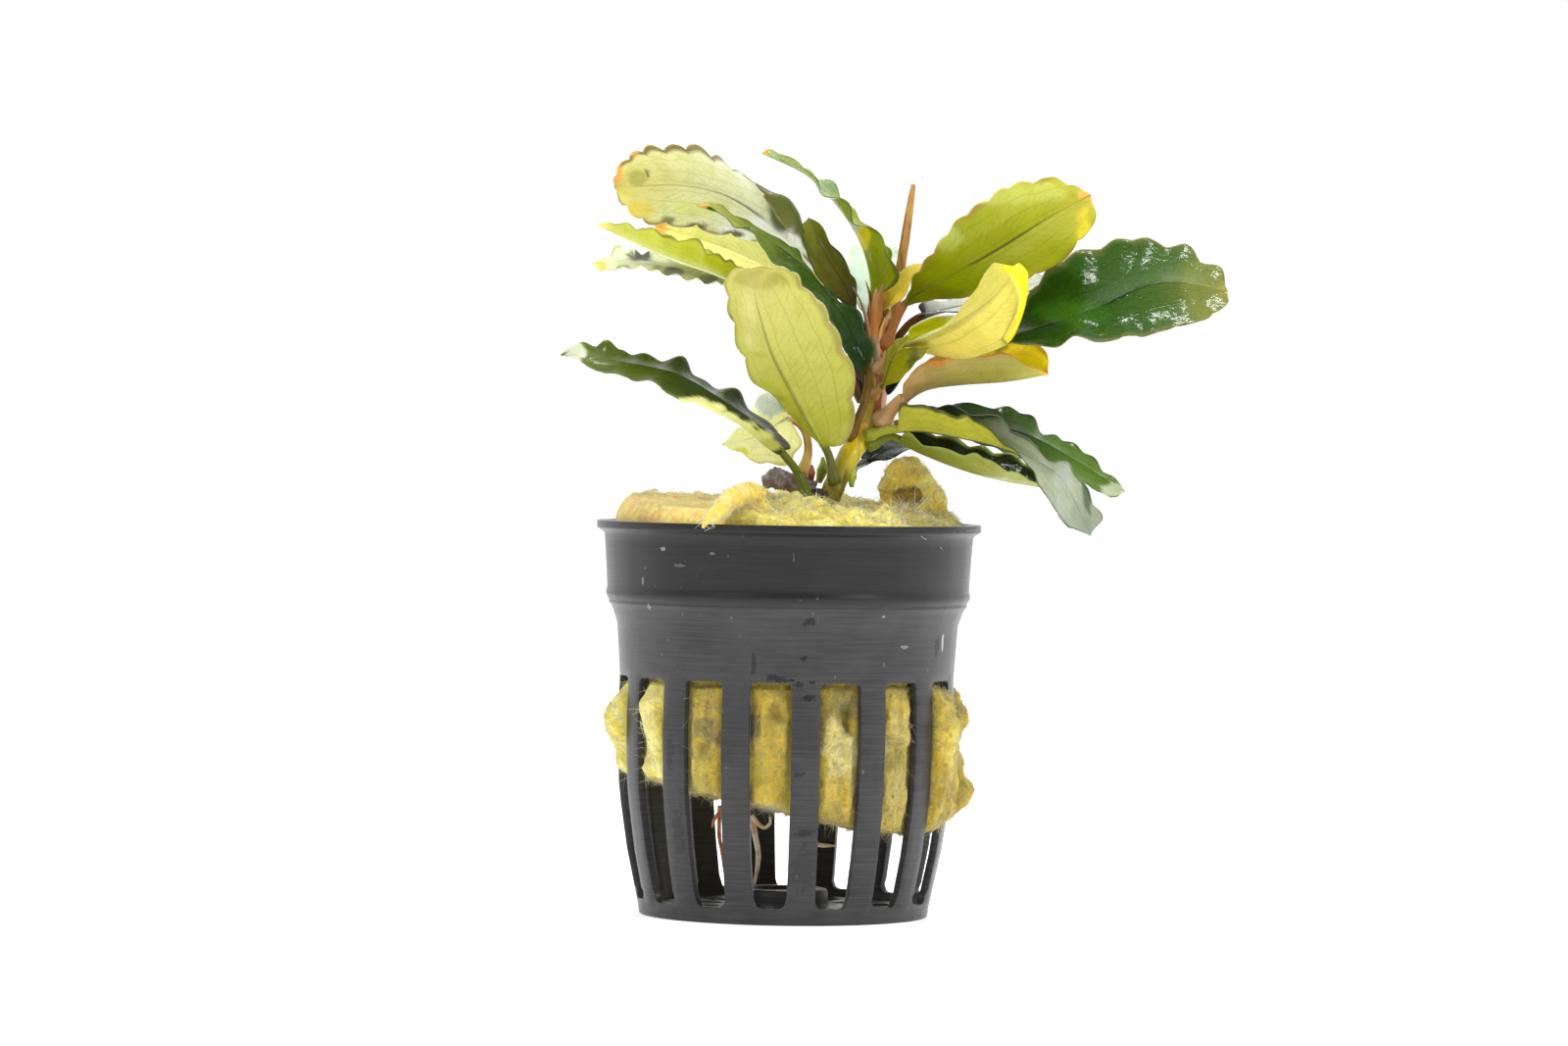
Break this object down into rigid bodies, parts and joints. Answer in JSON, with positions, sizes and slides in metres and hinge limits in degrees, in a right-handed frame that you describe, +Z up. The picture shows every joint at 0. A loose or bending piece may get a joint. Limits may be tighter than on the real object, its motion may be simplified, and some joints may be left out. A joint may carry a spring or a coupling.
{
  "type": "potted aquarium plant",
  "caption": "Potted rainbow marble bucephalandra: wavy aquarium leaves on a creeping stem, rooted in yellow rock wool in a slotted black net pot.",
  "frame": {"origin": "centre of the pot's underside, on the surface it stands on", "axes": "+Z up along the pot's axis; -Y is the side the picture shows, +X is its right"},
  "size_m": [0.0893, 0.0545, 0.106],
  "materials": {
    "pot_plastic": "black moulded polypropylene, satin, brushed and scuffed",
    "rock_wool": "yellow mineral wool with loose fibres",
    "leaf_pale": "pale yellow-green leaf underside, thin and glowing, with olive veins",
    "leaf_lime": "lime green leaf, wet and glossy",
    "leaf_green": "green leaf underside with a dark midrib and an orange margin",
    "leaf_olive": "olive brown leaf",
    "leaf_dark": "dark green leaf, wet and glossy",
    "leaf_silver": "dark green leaf with a silver sheen",
    "leaf_yellow": "yellow leaf",
    "leaf_orange": "young orange leaf, rolled",
    "shoot_brown": "brown rolled shoot",
    "stem_skin": "yellow olive stem with pink-brown sheaths",
    "rhizome_skin": "grey-violet rhizome",
    "root_cream": "cream root",
    "root_orange": "orange root"
  },
  "bodies": {
    "root": {"net_pot": "pot_plastic", "rock_wool_plug": "rock_wool", "rock_wool_strip": "rock_wool", "rock_wool_flap": "rock_wool", "rhizome": "rhizome_skin", "stem": "stem_skin", "leaf_upper_left": "leaf_pale", "leaf_upper_left_back": "leaf_pale", "leaf_left_lime": "leaf_lime", "leaf_left_pale": "leaf_pale", "leaf_dark_upper_left": "leaf_dark", "leaf_olive_upper": "leaf_olive", "leaf_thin_top": "leaf_lime", "leaf_back_pale": "leaf_pale", "leaf_upper_right": "leaf_green", "leaf_young": "leaf_orange", "leaf_right_glossy": "leaf_dark", "leaf_front_yellow": "leaf_yellow", "leaf_lower_right_olive": "leaf_olive", "leaf_small_front": "leaf_olive", "leaf_edge_on_right": "leaf_dark", "leaf_lime_right": "leaf_lime", "leaf_low_right_back": "leaf_dark", "leaf_low_right": "leaf_silver", "leaf_low_right_under": "leaf_dark", "leaf_low_back": "leaf_dark", "leaf_low_left": "leaf_dark", "leaf_front": "leaf_pale", "leaf_low_left_pale": "leaf_pale", "spike": "shoot_brown", "bud_green": "leaf_lime", "bud_red": "shoot_brown", "shoot_sliver": "leaf_lime", "root_white": "root_cream", "root_orange": "root_orange", "root_orange_long": "root_orange", "root_pink": "root_cream", "root_curl": "root_cream"}
  },
  "joints": []
}
